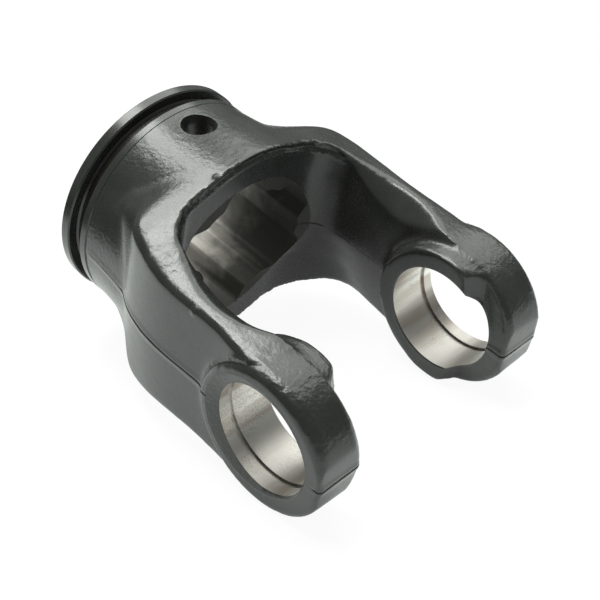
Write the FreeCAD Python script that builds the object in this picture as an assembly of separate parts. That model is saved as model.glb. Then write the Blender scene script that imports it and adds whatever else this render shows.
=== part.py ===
"""Forged yoke for a universal joint with a 32 x 76 mm cross.

One steel forging: a round hub with a six-lobed broached bore, two fork
arms that grow out of it, and an ear with a bearing bore on each arm.
All sizes are in millimetres. While it is modelled, the hub axis is X, the
bearing bores run along Y, and the forging dies part on the plane Z = 0.
At the end the yoke is laid down on the floor, leaning a few degrees.
"""
import FreeCAD
import Part
import math
import os

Vector = FreeCAD.Vector
X_AXIS = Vector(1, 0, 0)
Y_AXIS = Vector(0, 1, 0)
Z_AXIS = Vector(0, 0, 1)
ORIGIN = Vector(0, 0, 0)

# Bearing bores in the two ears
bore_radius = 16.0
boss_half_span = 43.4
bore_length = 18.2
pad_half_span = boss_half_span - bore_length
ring_groove_half_span = 38.0
ring_groove_width = 1.7
ring_groove_depth = 0.8
bore_chamfer = 0.6

# The ears
ear_outer_radius = 22.4
ear_inner_radius = 22.6
ear_bevel_width = 1.8
ear_bevel_depth = 2.8
pad_step = 3.0
boss_step = 2.1
ear_web_inner = pad_half_span + pad_step
ear_web_outer = boss_half_span - boss_step
boss_radius = 22.3
boss_edge = 0.7
pad_radius = 21.7
pad_root_radius = 22.6
pad_edge = 0.5
pad_cut_x = 6.6
pad_end_slope = 0.7
pad_corner_slant = 0.24
pad_corner_height = 14.6
tip_x = 21.6
tip_draft_degrees = 4.0

# Remains of the forged dimple beside the outer end of each bearing bore
dimple_radius = 17.9
dimple_shift = 1.9
dimple_depth = 0.6
dimple_slope = 5.5

# Hub, collar and guard-ring groove
hub_end = 91.9
collar_radius = 34.0
collar_width = 3.4
guard_groove_width = 4.1
guard_groove_depth = 3.4
shoulder_radius = 33.4
shoulder_width = 2.8
turned_edge = 0.4

# Forged hub body: station, half-width across the arms, half-height
hub_stations = (
    (-86.0, 33.1, 33.2),
    (-76.0, 33.6, 33.8),
    (-68.0, 34.6, 34.8),
    (-60.0, 35.6, 36.0),
    (-50.0, 36.2, 37.2),
)

# Fork arm sections: station, side at the parting plane, edge across,
# edge height, rise of the top per mm towards the middle, edge rounding
arm_stations = (
    (-76.0, 28.5, 25.5, 19.5, 0.42, 9.0),
    (-70.0, 31.8, 29.6, 22.8, 0.42, 7.6),
    (-64.0, 34.4, 32.6, 25.0, 0.36, 6.2),
    (-59.0, 37.5, 36.0, 26.5, 0.30, 4.8),
    (-53.0, 40.0, 38.6, 26.0, 0.32, 3.6),
    (-46.0, 41.5, 40.4, 24.3, 0.33, 3.0),
    (-36.0, 42.0, 41.1, 23.0, 0.26, 2.6),
    (-22.0, 41.6, 41.0, 22.8, 0.18, 2.4),
    (-2.0, 41.3, 40.6, 22.3, 0.04, 1.2),
)
arm_inner_limit = 14.0

# Gap between the arms, with more draft in the lower die
crotch_x = -55.0
crotch_corner_radius = 12.0
arm_inner_side = 29.0
arm_inner_side_at_ear = 28.2
gap_draft_degrees = 5.0
gap_reach = 44.0
lower_back_run = 5.1
lower_side_run = 13.9
lower_ear_run = -5.3
lower_corner_growth = 14.0

# Scooped bevel on the inner top edge of each arm
scoop_x = -24.5
scoop_across = 32.8
scoop_height = 20.3
scoop_radius = 35.0
scoop_angle_degrees = 43.5
scoop_length = 30.0
scoop_from_x = -50.0
scoop_to_x = -4.0
scoop_from_y = 30.2

# Six-lobed bore for the profile tube
lobe_count = 6
ridge_radius = 21.7
side_ridge_radius = 22.3
groove_radius = 26.0
ridge_half_angle = 8.5
flank_half_angle = 17.5
groove_corner_radius = 2.2
ridge_corner_radius = 1.4

# Hole for the spring pin that holds the tube
pin_hole_radius = 5.0
pin_hole_x = -74.0

# Search range for the lean of the yoke as it lies on the floor
lean_low_degrees = 2.0
lean_high_degrees = 25.0
lean_steps = 24
surface_step = 0.05


def disc(radius, start, end):
    """Cylinder about the X axis from start to end."""
    return Part.makeCylinder(radius, end - start, Vector(start, 0, 0), X_AXIS)


def turned_ring(radius, start, end, edge):
    """Cylinder about the X axis with both edges chamfered."""
    profile = [
        Vector(start, 0, 0),
        Vector(start, radius - edge, 0),
        Vector(start + edge, radius, 0),
        Vector(end - edge, radius, 0),
        Vector(end, radius - edge, 0),
        Vector(end, 0, 0),
        Vector(start, 0, 0),
    ]
    face = Part.Face(Part.makePolygon(profile))
    return face.revolve(ORIGIN, X_AXIS, 360)


def hub_body():
    """Forged barrel of the hub, a little flat across the arms."""
    wires = []
    for station, half_width, half_height in hub_stations:
        centre = Vector(station, 0, 0)
        top = centre + Vector(0, 0, half_height)
        side = centre + Vector(0, half_width, 0)
        ellipse = Part.Ellipse(top, side, centre)
        wires.append(Part.Wire(ellipse.toShape()))
    return Part.makeLoft(wires, True, False)


def hub():
    """Hub body with the turned collar, groove and shoulder at its end."""
    collar_end = collar_width - hub_end
    groove_end = collar_end + guard_groove_width
    shoulder_end = groove_end + shoulder_width
    shape = hub_body()
    shape = shape.cut(disc(2 * collar_radius, -2 * hub_end, groove_end))
    shape = shape.fuse(turned_ring(collar_radius, -hub_end, collar_end, turned_edge))
    neck_radius = collar_radius - guard_groove_depth
    shape = shape.fuse(disc(neck_radius, -hub_end + turned_edge, groove_end + turned_edge))
    shape = shape.fuse(turned_ring(shoulder_radius, groove_end, shoulder_end, turned_edge))
    return shape


def rounded_corner(before, corner, after, radius):
    """Start, middle and end of the arc that rounds one corner."""
    to_before = (before - corner).normalize()
    to_after = (after - corner).normalize()
    half_angle = to_before.getAngle(to_after) / 2
    reach = radius / math.tan(half_angle)
    centre_reach = radius / math.sin(half_angle)
    bisector = (to_before + to_after).normalize()
    middle = corner + bisector * (centre_reach - radius)
    return corner + to_before * reach, middle, corner + to_after * reach


def arm_section(station, side, edge_across, edge_height, rise, rounding):
    """Closed section of the far arm, symmetric about the parting plane."""
    inner_height = edge_height + rise * (edge_across - arm_inner_limit)
    inner_top = Vector(station, arm_inner_limit, inner_height)
    edge_top = Vector(station, edge_across, edge_height)
    middle_side = Vector(station, side, 0)
    edge_bottom = Vector(station, edge_across, -edge_height)
    inner_bottom = Vector(station, arm_inner_limit, -inner_height)
    top = rounded_corner(inner_top, edge_top, middle_side, rounding)
    bottom = rounded_corner(middle_side, edge_bottom, inner_bottom, rounding)
    edges = [
        Part.makeLine(inner_top, top[0]),
        Part.Arc(top[0], top[1], top[2]).toShape(),
        Part.makeLine(top[2], middle_side),
        Part.makeLine(middle_side, bottom[0]),
        Part.Arc(bottom[0], bottom[1], bottom[2]).toShape(),
        Part.makeLine(bottom[2], inner_bottom),
        Part.makeLine(inner_bottom, inner_top),
    ]
    return Part.Wire(edges)


def fork_arm():
    """Far arm as a smooth blend from the round hub to the flat ear."""
    wires = [arm_section(*values) for values in arm_stations]
    return Part.makeLoft(wires, True, False)


def ear_body():
    """Web of the far ear, bevelled on its inner side, and its outer boss."""
    bevel_end = ear_web_inner + ear_bevel_depth
    bevel = Part.makeCone(ear_inner_radius - ear_bevel_width, ear_inner_radius,
                          ear_bevel_depth, Vector(0, ear_web_inner, 0), Y_AXIS)
    web = Part.makeCone(ear_inner_radius, ear_outer_radius, ear_web_outer - bevel_end,
                        Vector(0, bevel_end, 0), Y_AXIS)
    rim_start = boss_half_span - boss_edge
    boss = Part.makeCylinder(boss_radius, rim_start - ear_web_outer,
                             Vector(0, ear_web_outer, 0), Y_AXIS)
    rim = Part.makeCone(boss_radius, boss_radius - boss_edge, boss_edge,
                        Vector(0, rim_start, 0), Y_AXIS)
    return web.fuse([bevel, boss, rim])


def inner_pad():
    """Machined pad on the inner side, with a sloping end towards the tip."""
    edge_start = pad_half_span + pad_edge
    rim = Part.makeCone(pad_radius - pad_edge, pad_radius, pad_edge,
                        Vector(0, pad_half_span, 0), Y_AXIS)
    pad = Part.makeCone(pad_radius, pad_root_radius, ear_web_outer - edge_start,
                        Vector(0, edge_start, 0), Y_AXIS)
    far = 2 * pad_radius
    slant = pad_corner_slant * (far - pad_corner_height)
    outline = [
        Vector(pad_cut_x, pad_half_span, -pad_corner_height),
        Vector(pad_cut_x, pad_half_span, pad_corner_height),
        Vector(pad_cut_x - slant, pad_half_span, far),
        Vector(2 * far, pad_half_span, far),
        Vector(2 * far, pad_half_span, -far),
        Vector(pad_cut_x - slant, pad_half_span, -far),
        Vector(pad_cut_x, pad_half_span, -pad_corner_height),
    ]
    beyond = Part.Face(Part.makePolygon(outline))
    return rim.fuse(pad).cut(beyond.extrude(Vector(pad_end_slope * far, far, 0)))


def tip_relief():
    """Block that clears the inner side of the far ear beyond its pad."""
    grow = gap_reach * math.tan(math.radians(gap_draft_degrees))
    outline = [
        Vector(pad_cut_x, 0, -gap_reach),
        Vector(pad_cut_x, ear_web_inner + grow, -gap_reach),
        Vector(pad_cut_x, ear_web_inner, 0),
        Vector(pad_cut_x, ear_web_inner + grow, gap_reach),
        Vector(pad_cut_x, 0, gap_reach),
        Vector(pad_cut_x, 0, -gap_reach),
    ]
    face = Part.Face(Part.makePolygon(outline))
    return face.extrude(Vector(gap_reach, 0, 0))


def gap_outline(height, back, side, side_at_ear, corner_radius):
    """Outline of the gap between the arms, with a rounded corner at each arm."""
    corner_x = back + corner_radius
    corner_y = side - corner_radius
    slant = corner_radius * math.sqrt(0.5)
    upper_middle = Vector(corner_x - slant, corner_y + slant, height)
    lower_middle = Vector(corner_x - slant, -corner_y - slant, height)
    upper_back = Vector(back, corner_y, height)
    upper_side = Vector(corner_x, side, height)
    upper_end = Vector(gap_reach, side_at_ear, height)
    lower_back = Vector(back, -corner_y, height)
    lower_side = Vector(corner_x, -side, height)
    lower_end = Vector(gap_reach, -side_at_ear, height)
    edges = [
        Part.makeLine(lower_back, upper_back),
        Part.Arc(upper_back, upper_middle, upper_side).toShape(),
        Part.makeLine(upper_side, upper_end),
        Part.makeLine(upper_end, lower_end),
        Part.makeLine(lower_end, lower_side),
        Part.Arc(lower_side, lower_middle, lower_back).toShape(),
    ]
    return Part.Wire(edges)


def fork_gap():
    """Space between the arms, wider towards both faces of the dies."""
    grow = gap_reach * math.tan(math.radians(gap_draft_degrees))
    middle = gap_outline(0, crotch_x, arm_inner_side, arm_inner_side_at_ear,
                         crotch_corner_radius)
    top = gap_outline(gap_reach, crotch_x + grow, arm_inner_side + grow,
                      arm_inner_side_at_ear + grow, crotch_corner_radius)
    bottom = gap_outline(-gap_reach, crotch_x - lower_back_run,
                         arm_inner_side + lower_side_run,
                         arm_inner_side_at_ear + lower_ear_run,
                         crotch_corner_radius + lower_corner_growth)
    upper_half = Part.makeLoft([middle, top], True, True)
    lower_half = Part.makeLoft([middle, bottom], True, True)
    return upper_half.fuse(lower_half)


def edge_scoop():
    """Large cylinder that scoops the inner top edge of the far arm."""
    turn = math.radians(scoop_angle_degrees)
    along = Vector(0, math.cos(turn), math.sin(turn))
    away = Vector(0, -math.sin(turn), math.cos(turn))
    middle = Vector(scoop_x, scoop_across, scoop_height)
    start = middle + away * scoop_radius - along * (scoop_length / 2)
    scoop = Part.makeCylinder(scoop_radius, scoop_length, start, along)
    limit = Part.makeBox(scoop_to_x - scoop_from_x, scoop_radius, scoop_radius,
                         Vector(scoop_from_x, scoop_from_y, 0))
    return scoop.common(limit)


def ridge_at(index):
    """Radius of one ridge; the two that point at the arms are lower."""
    towards_arm = index % (lobe_count // 2) == 0
    return side_ridge_radius if towards_arm else ridge_radius


def lobe_points(index):
    """Corner points of one ridge and the groove wall that follows it."""
    pitch = 360.0 / lobe_count
    base = pitch * index
    ridge = ridge_at(index)
    angles = (
        (base - ridge_half_angle, ridge),
        (base, ridge),
        (base + ridge_half_angle, ridge),
        (base + flank_half_angle, groove_radius),
        (base + pitch / 2, groove_radius),
        (base + pitch - flank_half_angle, groove_radius),
        (base + pitch - ridge_half_angle, ridge_at(index + 1)),
    )
    points = []
    for angle, radius in angles:
        turn = math.radians(angle)
        points.append(Vector(0, radius * math.cos(turn), radius * math.sin(turn)))
    return points


def corner_edges(cutter, at_ridge):
    """Lengthwise edges of the bore cutter, at its ridges or at its grooves."""
    middle_radius = (side_ridge_radius + groove_radius) / 2
    found = []
    for edge in cutter.Edges:
        start = edge.Vertexes[0].Point
        end = edge.Vertexes[-1].Point
        lengthwise = abs(start.x - end.x) > hub_end / 2
        if lengthwise and (math.hypot(start.y, start.z) < middle_radius) == at_ridge:
            found.append(edge)
    return found


def profile_bore():
    """Six-lobed cutter for the bore that takes the profile tube."""
    edges = []
    for index in range(lobe_count):
        p = lobe_points(index)
        edges.append(Part.Arc(p[0], p[1], p[2]).toShape())
        edges.append(Part.makeLine(p[2], p[3]))
        edges.append(Part.Arc(p[3], p[4], p[5]).toShape())
        edges.append(Part.makeLine(p[5], p[6]))
    face = Part.Face(Part.Wire(edges))
    face.translate(Vector(-hub_end - 1, 0, 0))
    cutter = face.extrude(Vector(hub_end + 1, 0, 0))
    cutter = cutter.makeFillet(groove_corner_radius, corner_edges(cutter, False))
    return cutter.makeFillet(ridge_corner_radius, corner_edges(cutter, True))


def bore_tools():
    """Cutters for both bearing bores and their retaining-ring grooves."""
    reach = 2 * boss_half_span
    tools = [Part.makeCylinder(bore_radius, 2 * reach, Vector(0, -reach, 0), Y_AXIS)]
    groove_bottom = bore_radius + ring_groove_depth
    for side in (-1, 1):
        middle = side * ring_groove_half_span
        start = Vector(0, middle - ring_groove_width / 2, 0)
        tools.append(Part.makeCylinder(groove_bottom, ring_groove_width, start, Y_AXIS))
        face_y = side * boss_half_span
        outward = Vector(0, side, 0)
        tools.append(Part.makeCone(bore_radius, bore_radius + bore_chamfer, bore_chamfer,
                                   Vector(0, face_y - side * bore_chamfer, 0), outward))
        low_radius = dimple_radius - dimple_depth * dimple_slope
        tools.append(Part.makeCone(low_radius, dimple_radius, dimple_depth,
                                   Vector(-dimple_shift, face_y - side * dimple_depth, 0),
                                   outward))
    return tools


def pin_hole():
    """Straight hole across the hub, through both of its walls."""
    reach = 2 * collar_radius
    return Part.makeCylinder(pin_hole_radius, 2 * reach,
                             Vector(pin_hole_x, 0, -reach), Z_AXIS)


def tip_trim():
    """Block beyond the trimmed tips, with a little die draft."""
    drop = math.tan(math.radians(tip_draft_degrees)) * gap_reach
    far = 2 * gap_reach
    outline = [
        Vector(tip_x, -far, 0),
        Vector(tip_x - drop, -far, gap_reach),
        Vector(far, -far, gap_reach),
        Vector(far, -far, -gap_reach),
        Vector(tip_x - drop, -far, -gap_reach),
        Vector(tip_x, -far, 0),
    ]
    face = Part.Face(Part.makePolygon(outline))
    return face.extrude(Vector(0, 2 * far, 0))


def mirrored_pair(shape):
    """The shape on the far side and its mirror image on the near side."""
    return [shape, shape.mirror(ORIGIN, Y_AXIS)]


def yoke():
    """The whole forging with its machined holes, in die position."""
    body = hub().fuse(mirrored_pair(fork_arm()))
    body = body.fuse(mirrored_pair(ear_body()))
    body = body.cut(fork_gap())
    body = body.cut(mirrored_pair(edge_scoop()))
    body = body.cut(mirrored_pair(tip_relief()))
    body = body.fuse(mirrored_pair(inner_pad()))
    body = body.cut(tip_trim())
    body = body.cut(profile_bore())
    body = body.cut(bore_tools())
    body = body.cut(pin_hole())
    return body.removeSplitter()


def lowest_point(points, lean):
    """Height of the lowest of some points once the yoke leans by an angle."""
    turn = math.radians(lean)
    return min(p.z * math.cos(turn) - p.x * math.sin(turn) for p in points)


def lay_down(shape):
    """Lean the yoke until the belly of the hub and the ears touch the floor."""
    points = shape.tessellate(surface_step)[0]
    ears = [p for p in points if p.x > crotch_x / 2]
    belly = [p for p in points if p.x < crotch_x / 2]
    low = lean_low_degrees
    high = lean_high_degrees
    for step in range(lean_steps):
        lean = (low + high) / 2
        if lowest_point(belly, lean) < lowest_point(ears, lean):
            low = lean
        else:
            high = lean
    laid = shape.copy()
    laid.rotate(ORIGIN, Y_AXIS, lean)
    print("lean", round(lean, 3), "floor", round(lowest_point(points, lean), 3))
    return laid


if __name__ == "__main__":
    os.makedirs("parts", exist_ok=True)
    forging = yoke()
    laid = lay_down(forging)
    solid = laid.Solids[0]
    print("solids", len(laid.Solids), "valid", laid.isValid())
    print("volume", round(solid.Volume))
    solid.exportStep("parts/forged_yoke.step")
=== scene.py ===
# %% [markdown]
# A forged yoke is half of a universal joint. It is hammered hot between two dies,
# trimmed, machined in a few places and sprayed black. This lesson follows the same
# order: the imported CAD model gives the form, its holes are closed to get the raw
# forging back, the forging gets its rough skin, and the machining is cut last.

# %% Load the frame
import math

import bmesh
import bpy
import numpy as np
from mathutils import Matrix, Vector, kdtree, noise


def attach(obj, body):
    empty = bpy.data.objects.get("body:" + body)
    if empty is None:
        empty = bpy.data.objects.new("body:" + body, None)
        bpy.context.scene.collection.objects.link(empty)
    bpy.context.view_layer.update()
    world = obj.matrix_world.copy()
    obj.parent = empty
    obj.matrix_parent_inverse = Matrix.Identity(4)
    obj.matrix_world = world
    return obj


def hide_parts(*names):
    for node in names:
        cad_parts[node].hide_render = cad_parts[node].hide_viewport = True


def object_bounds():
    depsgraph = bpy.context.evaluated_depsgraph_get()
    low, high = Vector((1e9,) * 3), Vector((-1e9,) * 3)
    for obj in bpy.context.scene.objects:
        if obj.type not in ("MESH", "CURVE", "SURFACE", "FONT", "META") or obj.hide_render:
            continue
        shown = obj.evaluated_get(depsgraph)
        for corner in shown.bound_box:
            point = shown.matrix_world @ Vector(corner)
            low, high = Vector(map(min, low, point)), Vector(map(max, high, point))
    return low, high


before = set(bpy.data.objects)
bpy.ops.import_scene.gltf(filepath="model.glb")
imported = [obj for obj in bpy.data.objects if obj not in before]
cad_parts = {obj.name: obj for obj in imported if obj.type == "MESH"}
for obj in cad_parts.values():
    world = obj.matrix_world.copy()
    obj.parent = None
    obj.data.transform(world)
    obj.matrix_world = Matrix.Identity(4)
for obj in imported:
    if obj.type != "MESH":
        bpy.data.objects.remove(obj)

cad_low, cad_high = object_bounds()
scene = bpy.context.scene
print("CAD box", [round(v, 4) for v in (*cad_low, *cad_high)])

# %% [markdown]
# The yoke lies on its side, so nothing on it is level. In the dies it was simple:
# hub axis along X, bearing bores along Y, dies parting at Z = 0. Shaping it as it
# lies would put the lean into every formula. So all shaping is done in that die
# frame, in millimetres, and one matrix lays the yoke down.

# %% The die frame
LEAN = math.radians(12.372)
MM = 0.001
lay_down = Matrix.Rotation(LEAN, 4, "Y") @ Matrix.Scale(MM, 4)
stand_up = lay_down.inverted()
FLOOR_Z = cad_low.z
print("lean", round(math.degrees(LEAN), 2), "floor", round(FLOOR_Z, 5))

# %% [markdown]
# The camera was fitted to the edges of the bores and the collar in the photograph.
# Its place and its axes are kept in the die frame, so they follow the lean. Framing
# by eye would be quicker, but then no edge could be compared with the photograph.

# %% Camera
CAMERA_AT = Vector((136.538, -204.218, 254.668))
CAMERA_RIGHT = Vector((0.70014557, 0.70526272, 0.11135834))
CAMERA_DOWN = Vector((0.55228715, -0.43609586, -0.71049229))
CAMERA_AHEAD = Vector((-0.45252082, 0.55894981, -0.69483813))
LENS_MM = 78.94

turn = Matrix.Rotation(LEAN, 3, "Y")
axes = Matrix([turn @ CAMERA_RIGHT, turn @ -CAMERA_DOWN, turn @ -CAMERA_AHEAD]).transposed()
camera_data = bpy.data.cameras.new("camera")
camera_data.lens = LENS_MM
camera_data.sensor_width = 36.0
camera_data.clip_start = 0.01
camera_data.clip_end = 50.0
camera = bpy.data.objects.new("camera", camera_data)
camera.matrix_world = Matrix.Translation(lay_down @ CAMERA_AT) @ axes.to_4x4()
scene.collection.objects.link(camera)
scene.camera = camera
print("camera at", [round(v, 3) for v in camera.location])

# %% [markdown]
# The raw forging had no holes. The faces that the drill, the broach and the bore
# cutter left could be picked by hand, but not again after a change of the model.
# Here they are told by their distance from three axes of the die frame.

# %% Sizes of the machined places
BORE_RADIUS = 16.0
RING_Y = 38.0
RING_HALF = 0.85
RING_RADIUS = 16.8
BOSS_Y = 43.4
PAD_Y = 25.2
GROOVE_RADIUS = 26.0
PIN_X = -74.0
PIN_RADIUS = 5.0
HUB_END = -91.9
DIMPLE_REACH = 19.9
DIMPLE_ZONE = 0.9
HUB_ONLY_X = -30.0


def is_machined(points):
    """True where all corners of a face lie on the wall of a machined hole."""
    about_y = max(math.hypot(p.x, p.z) for p in points)
    about_x = max(math.hypot(p.y, p.z) for p in points)
    off_pin = max(math.hypot(p.x - PIN_X, p.y) for p in points)
    in_dimple = min(abs(p.y) for p in points) > BOSS_Y - DIMPLE_ZONE
    in_bore = about_y < (DIMPLE_REACH if in_dimple else RING_RADIUS + 0.1)
    in_tube = max(p.x for p in points) < HUB_ONLY_X and about_x < GROOVE_RADIUS + 0.1
    in_pin = off_pin < PIN_RADIUS + 0.05
    return in_bore or in_tube or in_pin


print("bores", 2 * BORE_RADIUS, "mm wide, pin hole", 2 * PIN_RADIUS, "mm wide")

# %% [markdown]
# Those faces are deleted from a copy of the CAD mesh, and the rims are filled. A
# plain block with a sculpted skin could stand for the forging too, but the closed
# CAD form is exact: it only gains material that is cut away again later.

# %% Close the machined holes


def temporary_object(name, mesh):
    """Puts a mesh in the scene, so that modifiers can work on it."""
    made = bpy.data.objects.new(name, mesh)
    scene.collection.objects.link(made)
    return made


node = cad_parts["forged_yoke"]
form = bmesh.new()
form.from_mesh(node.data)
bmesh.ops.transform(form, matrix=stand_up, verts=form.verts)
bmesh.ops.remove_doubles(form, verts=form.verts, dist=0.002)
cut_faces = [f for f in form.faces if is_machined([v.co for v in f.verts])]
bmesh.ops.delete(form, geom=cut_faces, context="FACES")
rims = [e for e in form.edges if e.is_boundary]
bmesh.ops.holes_fill(form, edges=rims, sides=0)
bmesh.ops.triangulate(form, faces=[f for f in form.faces if len(f.verts) > 3])
bmesh.ops.recalc_face_normals(form, faces=form.faces)
open_edges = sum(1 for e in form.edges if not e.is_manifold)
raw_mesh = bpy.data.meshes.new("raw_forging")
form.to_mesh(raw_mesh)
form.free()
raw = temporary_object("raw_forging", raw_mesh)
print("raw forging", len(raw_mesh.polygons), "faces, open edges", open_edges)

# %% [markdown]
# Everything that happens to the skin is worked out for all vertices at once, as
# arrays. Helpers apply modifiers, read the mesh, make soft masks and measure from
# the bores. A sculpting brush could do the same by hand, but not twice alike.

# %% Helpers for a skin


def apply_modifiers(thing):
    """Keeps the mesh that the modifiers make and clears them."""
    graph = bpy.context.evaluated_depsgraph_get()
    mesh = bpy.data.meshes.new_from_object(thing.evaluated_get(graph))
    thing.modifiers.clear()
    thing.data = mesh
    return mesh


def values_of(mesh, what):
    """Positions or normals of the vertices as an array."""
    flat = np.empty(len(mesh.vertices) * 3)
    mesh.vertices.foreach_get(what, flat)
    return flat.reshape(-1, 3)


def smoothstep(low, high, values):
    """Soft step from 0 at low to 1 at high."""
    share = np.clip((values - low) / (high - low), 0.0, 1.0)
    return share * share * (3.0 - 2.0 * share)


def about_bores(points):
    """Distance of each point from the axis of the bearing bores."""
    return np.hypot(points[:, 0], points[:, 2])


print("soft step from 0 to 1:", smoothstep(0.0, 1.0, np.array([0.0, 0.25, 0.5, 1.0])))

# %% [markdown]
# Edges and hollows are found by comparing each vertex with the middle of its
# neighbours: it stands out on an edge and lies deep in a hollow. Averaging that
# value over the neighbours widens the mark to the width of a real worn edge.

# %% How sharply the skin bulges


def bulge_of(mesh, rounds):
    """How sharply each vertex stands out from its neighbours, per mm."""
    points, normals = values_of(mesh, "co"), values_of(mesh, "normal")
    ends = np.empty(len(mesh.edges) * 2, dtype=np.int64)
    mesh.edges.foreach_get("vertices", ends)
    a, b = ends.reshape(-1, 2).T
    total = np.zeros_like(points)
    count = np.zeros(len(points))
    length = np.zeros(len(points))
    gap = np.linalg.norm(points[a] - points[b], axis=1)
    for one, other in ((a, b), (b, a)):
        np.add.at(total, one, points[other])
        np.add.at(count, one, 1)
        np.add.at(length, one, gap)
    middle = total / count[:, None]
    stand = np.einsum("ij,ij->i", points - middle, normals)
    bulge = stand / np.maximum(length / count, 0.05) ** 2
    for repeat in range(rounds):
        near = np.zeros(len(points))
        np.add.at(near, a, bulge[b])
        np.add.at(near, b, bulge[a])
        bulge = 0.5 * bulge + 0.5 * near / count
    return bulge


print("helper bulge_of ready")

# %% [markdown]
# Hot steel never fills a die to a sharp corner. A voxel remesh gives small even
# faces, and a light smoothing takes their steps away. A bevel would need clean edge
# loops, which a mesh of a CAD solid doesn't have.

# %% Even skin
VOXEL = 0.62
WEIGHT_LEVELS = 20


def smooth(thing, iterations, weights=None):
    """Smooths a mesh, each vertex by its own weight."""
    step = thing.modifiers.new("smooth", "SMOOTH")
    step.factor = 0.5
    step.iterations = iterations
    thing.vertex_groups.clear()
    if weights is not None:
        group = thing.vertex_groups.new(name="smoothed")
        for level in range(1, WEIGHT_LEVELS + 1):
            members = np.nonzero(np.round(weights * WEIGHT_LEVELS) == level)[0]
            group.add(members.tolist(), level / WEIGHT_LEVELS, "REPLACE")
        step.vertex_group = group.name
    return apply_modifiers(thing)


remesh = raw.modifiers.new("even", "REMESH")
remesh.mode = "VOXEL"
remesh.voxel_size = VOXEL
apply_modifiers(raw)
skin_mesh = smooth(raw, 2)
print("even skin", len(skin_mesh.polygons), "faces")

# %% [markdown]
# A die has wide fillets but only small edge radii, so hollow places are smoothed
# much more than edges. The pads and bosses round the bores were milled flat, and
# they keep their shape. Each pair of numbers is where a mask starts and ends.

# %% Fillets of the die
FILLET_ROUNDS = 40


def flats_of_ears(points, ear, pad, boss):
    """1 on the milled flats of both ears and 0 elsewhere."""
    out = np.abs(points[:, 1])
    at_ear = smoothstep(*ear, about_bores(points))
    return at_ear * np.maximum(smoothstep(*pad, out), smoothstep(*boss, out))


co = values_of(skin_mesh, "co")
keep_flat = flats_of_ears(co, (24.5, 23.5), (27.0, 26.0), (42.0, 42.8))
foot_of_ear = smoothstep(24.5, 23.5, about_bores(co)) * smoothstep(-10.0, -13.0, co[:, 2])
keep_flat = np.maximum(keep_flat, foot_of_ear)
hollow = smoothstep(0.10, 0.0, bulge_of(skin_mesh, 4))
skin_mesh = smooth(raw, FILLET_ROUNDS, hollow * (1.0 - 0.8 * keep_flat))
print("hollow share", round(float(hollow.mean()), 3))

# %% [markdown]
# Three places are rounder than the rest: the upright wall of the crotch, the rims
# of the scoop along each arm, and the corner where a pad runs out under the top of
# its ear. Each gets its own smoothing, because one strength would blur the others.

# %% Rounder places
CROTCH_ROUNDS = 120
SCOOP_ROUNDS = 24
CORNER_ROUNDS = 12
PAD_CORNER = (6.0, 27.2, 19.5)

co, nor = values_of(skin_mesh, "co"), values_of(skin_mesh, "normal")
upright = smoothstep(0.6, 0.4, np.abs(nor[:, 2])) * smoothstep(20.0, 17.0, np.abs(co[:, 2]))
upright *= smoothstep(-15.0, -11.0, co[:, 2])
in_crotch = smoothstep(-26.0, -32.0, co[:, 0]) * smoothstep(36.0, 34.0, np.abs(co[:, 1]))
skin_mesh = smooth(raw, CROTCH_ROUNDS, upright * in_crotch)
scoop_edge = smoothstep(6.0, 8.0, np.abs(co[:, 2])) * smoothstep(-52.0, -46.0, co[:, 0])
scoop_edge *= smoothstep(-4.0, -9.0, co[:, 0]) * smoothstep(38.0, 36.5, np.abs(co[:, 1]))
skin_mesh = smooth(raw, SCOOP_ROUNDS, scoop_edge)
co = values_of(skin_mesh, "co")
from_corner = np.linalg.norm(np.column_stack((co[:, 0], np.abs(co[:, 1]), co[:, 2]))
                             - np.array(PAD_CORNER), axis=1)
skin_mesh = smooth(raw, CORNER_ROUNDS, smoothstep(5.5, 2.5, from_corner))
print("rounded skin", len(skin_mesh.polygons), "faces")

# %% [markdown]
# The dies met at Z = 0 and the flash was sheared off there. Three cuts through the
# mesh put edges exactly on that line, so that a fine groove can follow it. Smaller
# voxels would do it too, but with many times the faces.

# %% Edges along the parting line
PARTING_HALF = 0.30
seamed = bmesh.new()
seamed.from_mesh(skin_mesh)
for height in (-PARTING_HALF, 0.0, PARTING_HALF):
    bmesh.ops.bisect_plane(seamed, geom=seamed.verts[:] + seamed.edges[:] + seamed.faces[:],
                           dist=0.01, plane_co=(0, 0, height), plane_no=(0, 0, 1))
seamed.to_mesh(skin_mesh)
seamed.free()
print("with parting line", len(skin_mesh.polygons), "faces")

# %% [markdown]
# The outer edge of each boss is worn round, most on top of the near one. A bevel
# would give one width all round. Here each vertex beyond a rounded corner is drawn
# back to it, and seeded noise varies the corner's radius.

# %% Worn edge of the bosses
BOSS_RADIUS = 22.3
EDGE_ROUND = 1.3
WORN_ROUND = 1.9
EDGE_WAVER = 0.25


def noise_at(points, scale, seed):
    """Smooth noise from -1 to 1 at each point; the seed picks another pattern."""
    shift = Vector((seed, seed * 1.7, -seed * 0.6))
    return np.array([noise.noise(Vector(p) * scale + shift) for p in points])


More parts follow.
